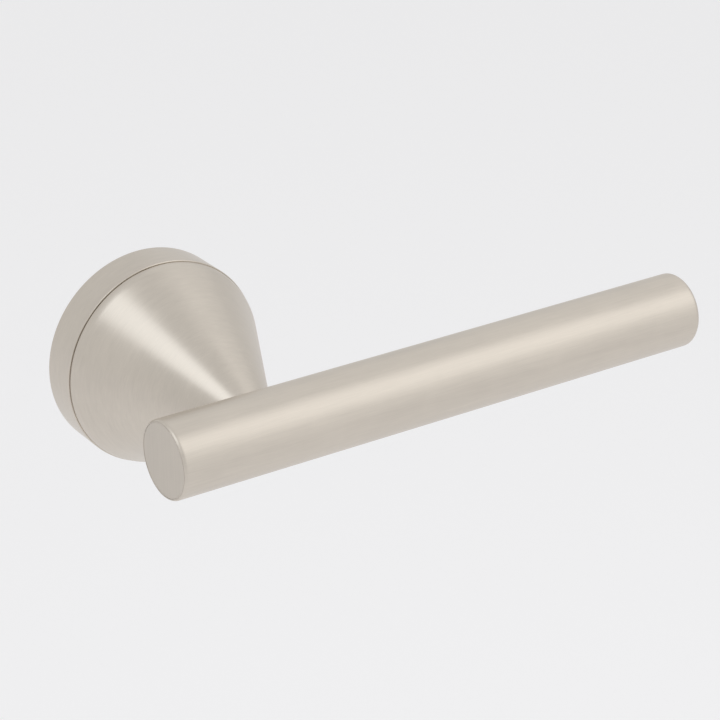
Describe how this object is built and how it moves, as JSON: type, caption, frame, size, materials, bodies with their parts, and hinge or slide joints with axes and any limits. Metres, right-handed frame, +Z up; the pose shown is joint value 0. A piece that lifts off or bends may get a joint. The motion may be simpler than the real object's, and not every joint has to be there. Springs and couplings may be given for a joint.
{
  "type": "door lever handle",
  "caption": "Door lever handle: a plain round bar on a conical neck, turning on a sprung round rose with threaded fixing posts and a square spindle.",
  "frame": {"origin": "where the spindle's axis meets the face of the door", "axes": "+X along the bar towards its free end, +Y into the door along the spindle, +Z up"},
  "size_m": [0.1495, 0.0925, 0.052],
  "materials": {
    "satin_nickel": "satin nickel plate, finely brushed along the bar and round the neck and rose",
    "cast_zinc": "raw zinc die casting, dull",
    "steel": "turned and zinc-plated steel",
    "black_steel": "black oxide",
    "spring_steel": "drawn spring wire, lightly oiled",
    "acetal": "moulded acetal, off-white",
    "rubber": "black nitrile rubber"
  },
  "bodies": {
    "rose": {"rose_ring": "satin_nickel", "mounting_plate": "cast_zinc", "grip_ring": "rubber", "spring_cover": "steel", "bearing_bush": "acetal", "torsion_spring": "spring_steel", "cover_screw_top": "steel", "cover_screw_bottom": "steel", "threaded_post_right": "steel", "threaded_post_left": "steel"},
    "lever": {"lever_bar": "satin_nickel", "near_end_cap": "satin_nickel", "free_end_cap": "satin_nickel", "conical_neck": "satin_nickel", "neck_bolt": "black_steel", "bar_anchor": "steel", "hub_sleeve": "steel", "spindle": "steel", "spring_driver": "steel", "driver_clip": "black_steel", "wave_washer": "spring_steel", "grub_screw": "black_steel"}
  },
  "joints": [
    {"name": "lever_turn", "type": "hinge", "parent": "rose", "child": "lever", "pos_m": [0, 0, 0], "axis": [0, 1, 0], "range_deg": [0, 45], "stiffness_Nm_per_rad": 0.6, "springref_deg": -28.65, "deforming": ["torsion_spring"]}
  ]
}
